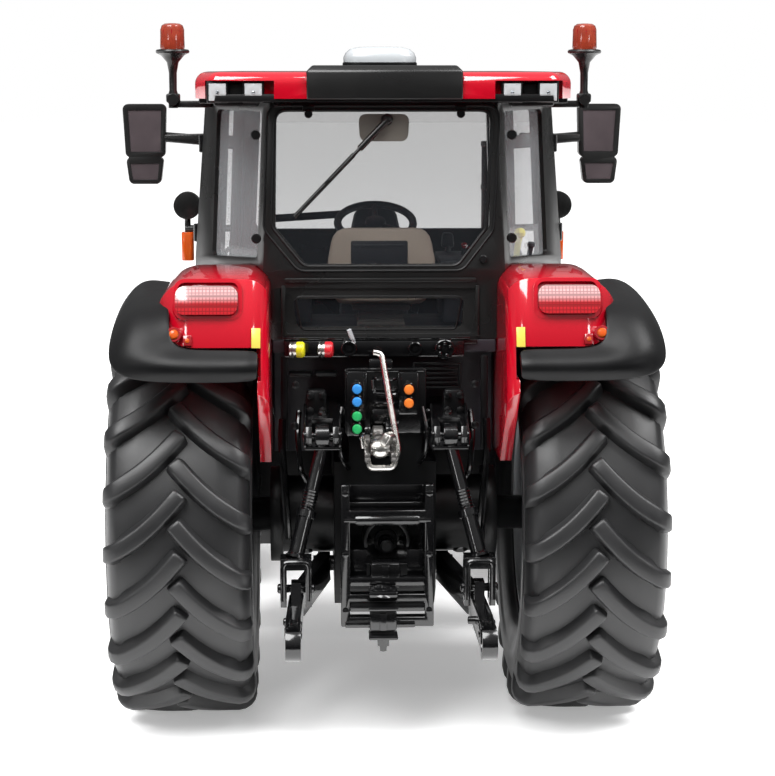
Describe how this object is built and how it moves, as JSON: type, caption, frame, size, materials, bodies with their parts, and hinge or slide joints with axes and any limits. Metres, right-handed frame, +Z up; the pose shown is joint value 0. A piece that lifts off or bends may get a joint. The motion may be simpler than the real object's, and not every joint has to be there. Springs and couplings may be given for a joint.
{
  "type": "scale model farm tractor",
  "caption": "Scale model of a four-wheel-drive farm tractor with a glazed cab, steering front axle and a rear three-point linkage that lifts.",
  "frame": {"origin": "on the ground, midway between left and right and midway along the whole length", "axes": "+X to the tractor's right, +Y forwards, +Z up"},
  "size_m": [0.0736, 0.1334, 0.0891],
  "materials": {
    "red_paint": "glossy die-cast enamel, red",
    "black_plastic": "satin moulded ABS, near black",
    "cab_black": "glossy moulded ABS, black",
    "grey_casting": "dark grey enamel on die-cast metal",
    "linkage_black": "glossy black enamel on die-cast metal",
    "rim_silver": "silver enamel on die-cast metal",
    "tyre_rubber": "soft dull rubber",
    "clear_plastic": "clear moulded polystyrene",
    "lamp_clear": "clear lamp lens",
    "lamp_red": "red and white tail lamp lens",
    "lamp_orange": "orange lens",
    "seat_beige": "matt beige plastic seat",
    "interior_grey": "matt dark grey plastic",
    "mirror_silver": "silvered mirror face",
    "bright_chrome": "bright plated wire and claw",
    "dome_white": "white gloss plastic",
    "exhaust_dark": "satin black enamel"
  },
  "bodies": {
    "tractor": {"rear_housing": "grey_casting", "engine_block": "grey_casting", "front_support": "grey_casting", "front_axle": "grey_casting", "side_tanks": "black_plastic", "steps": "black_plastic", "bonnet": "red_paint", "bonnet_grilles": "black_plastic", "headlamps": "lamp_clear", "exhaust": "exhaust_dark", "cab_frame": "cab_black", "cab_floor": "interior_grey", "rear_window": "clear_plastic", "quarter_windows": "clear_plastic", "door_windows": "clear_plastic", "windscreen": "clear_plastic", "seat": "seat_beige", "dashboard": "interior_grey", "steering_wheel": "interior_grey", "roof": "red_paint", "roof_hatch": "cab_black", "roof_dome": "dome_white", "work_lamps": "lamp_clear", "beacon_stalks": "cab_black", "beacon_lenses": "lamp_orange", "mirrors": "cab_black", "mirror_faces": "mirror_silver", "side_lamps": "cab_black", "side_indicators": "lamp_orange", "fenders": "red_paint", "flares": "black_plastic", "tail_lamps": "lamp_red", "hitch_frame": "linkage_black", "drawbar": "linkage_black", "pto": "linkage_black", "couplers": "linkage_black", "air_couplings": "linkage_black"},
    "rear_wheel_left": {"rear_tyre_left": "tyre_rubber", "rear_rim_left": "rim_silver"},
    "rear_wheel_right": {"rear_tyre_right": "tyre_rubber", "rear_rim_right": "rim_silver"},
    "front_wheel_left": {"front_tyre_left": "tyre_rubber", "front_rim_left": "rim_silver"},
    "front_wheel_right": {"front_tyre_right": "tyre_rubber", "front_rim_right": "rim_silver"},
    "knuckle_left": {"knuckle_left": "grey_casting"},
    "knuckle_right": {"knuckle_right": "grey_casting"},
    "tie_rod": {"tie_rod": "linkage_black"},
    "lift_arms": {"lift_arms": "linkage_black"},
    "lift_rod_left": {"lift_rod_left": "linkage_black"},
    "lift_rod_right": {"lift_rod_right": "linkage_black"},
    "lower_link_left": {"lower_link_left": "linkage_black"},
    "lower_link_right": {"lower_link_right": "linkage_black"},
    "top_link": {"top_link": "bright_chrome"}
  },
  "joints": [
    {"name": "rear_spin_left", "type": "hinge", "parent": "tractor", "child": "rear_wheel_left", "pos_m": [-0.0254, -0.03325, 0.0255], "axis": [1, 0, 0], "continuous": true},
    {"name": "steer_left", "type": "hinge", "parent": "tractor", "child": "knuckle_left", "pos_m": [-0.018, 0.04225, 0.0185], "axis": [0, 0, 1], "range_deg": [-25, 25]},
    {"name": "front_spin_left", "type": "hinge", "parent": "knuckle_left", "child": "front_wheel_left", "pos_m": [-0.0268, 0.04225, 0.0185], "axis": [1, 0, 0], "continuous": true},
    {"name": "rear_spin_right", "type": "hinge", "parent": "tractor", "child": "rear_wheel_right", "pos_m": [0.0254, -0.03325, 0.0255], "axis": [1, 0, 0], "continuous": true},
    {"name": "steer_right", "type": "hinge", "parent": "tractor", "child": "knuckle_right", "pos_m": [0.018, 0.04225, 0.0185], "axis": [0, 0, 1], "range_deg": [-25, 25]},
    {"name": "front_spin_right", "type": "hinge", "parent": "knuckle_right", "child": "front_wheel_right", "pos_m": [0.0268, 0.04225, 0.0185], "axis": [1, 0, 0], "continuous": true},
    {"name": "tie_rod_slide", "type": "slide", "parent": "tractor", "child": "tie_rod", "axis": [1, 0, 0], "range_m": [-0.00265, 0.00265]},
    {"name": "lift_arms_raise", "type": "hinge", "parent": "tractor", "child": "lift_arms", "pos_m": [0, -0.03975, 0.0395], "axis": [-1, 0, 0], "range_deg": [-6, 32]},
    {"name": "lift_rod_left_swing", "type": "hinge", "parent": "lift_arms", "child": "lift_rod_left", "pos_m": [-0.0079, -0.04825, 0.0384], "axis": [1, 0, 0], "range_deg": [-6.3, 33.2]},
    {"name": "lower_link_left_raise", "type": "hinge", "parent": "tractor", "child": "lower_link_left", "pos_m": [-0.0077, -0.03575, 0.0194], "axis": [-1, 0, 0], "range_deg": [-2.95, 15.4]},
    {"name": "lift_rod_right_swing", "type": "hinge", "parent": "lift_arms", "child": "lift_rod_right", "pos_m": [0.0079, -0.04825, 0.0384], "axis": [1, 0, 0], "range_deg": [-6.3, 33.2]},
    {"name": "lower_link_right_raise", "type": "hinge", "parent": "tractor", "child": "lower_link_right", "pos_m": [0.0077, -0.03575, 0.0194], "axis": [-1, 0, 0], "range_deg": [-2.95, 15.4]},
    {"name": "top_link_tilt", "type": "hinge", "parent": "tractor", "child": "top_link", "pos_m": [-0.001, -0.04685, 0.0382], "axis": [-1, 0, 0], "range_deg": [-25, 2]}
  ],
  "couplings": [
    {"joint": "steer_right", "follows": "steer_left", "ratio": 1},
    {"joint": "tie_rod_slide", "follows": "steer_left", "m_per_rad": 0.006},
    {"joint": "lift_rod_left_swing", "follows": "lift_arms_raise", "ratio": 1.0341},
    {"joint": "lower_link_left_raise", "follows": "lift_arms_raise", "ratio": 0.4797},
    {"joint": "lift_rod_right_swing", "follows": "lift_arms_raise", "ratio": 1.0341},
    {"joint": "lower_link_right_raise", "follows": "lift_arms_raise", "ratio": 0.4797}
  ]
}
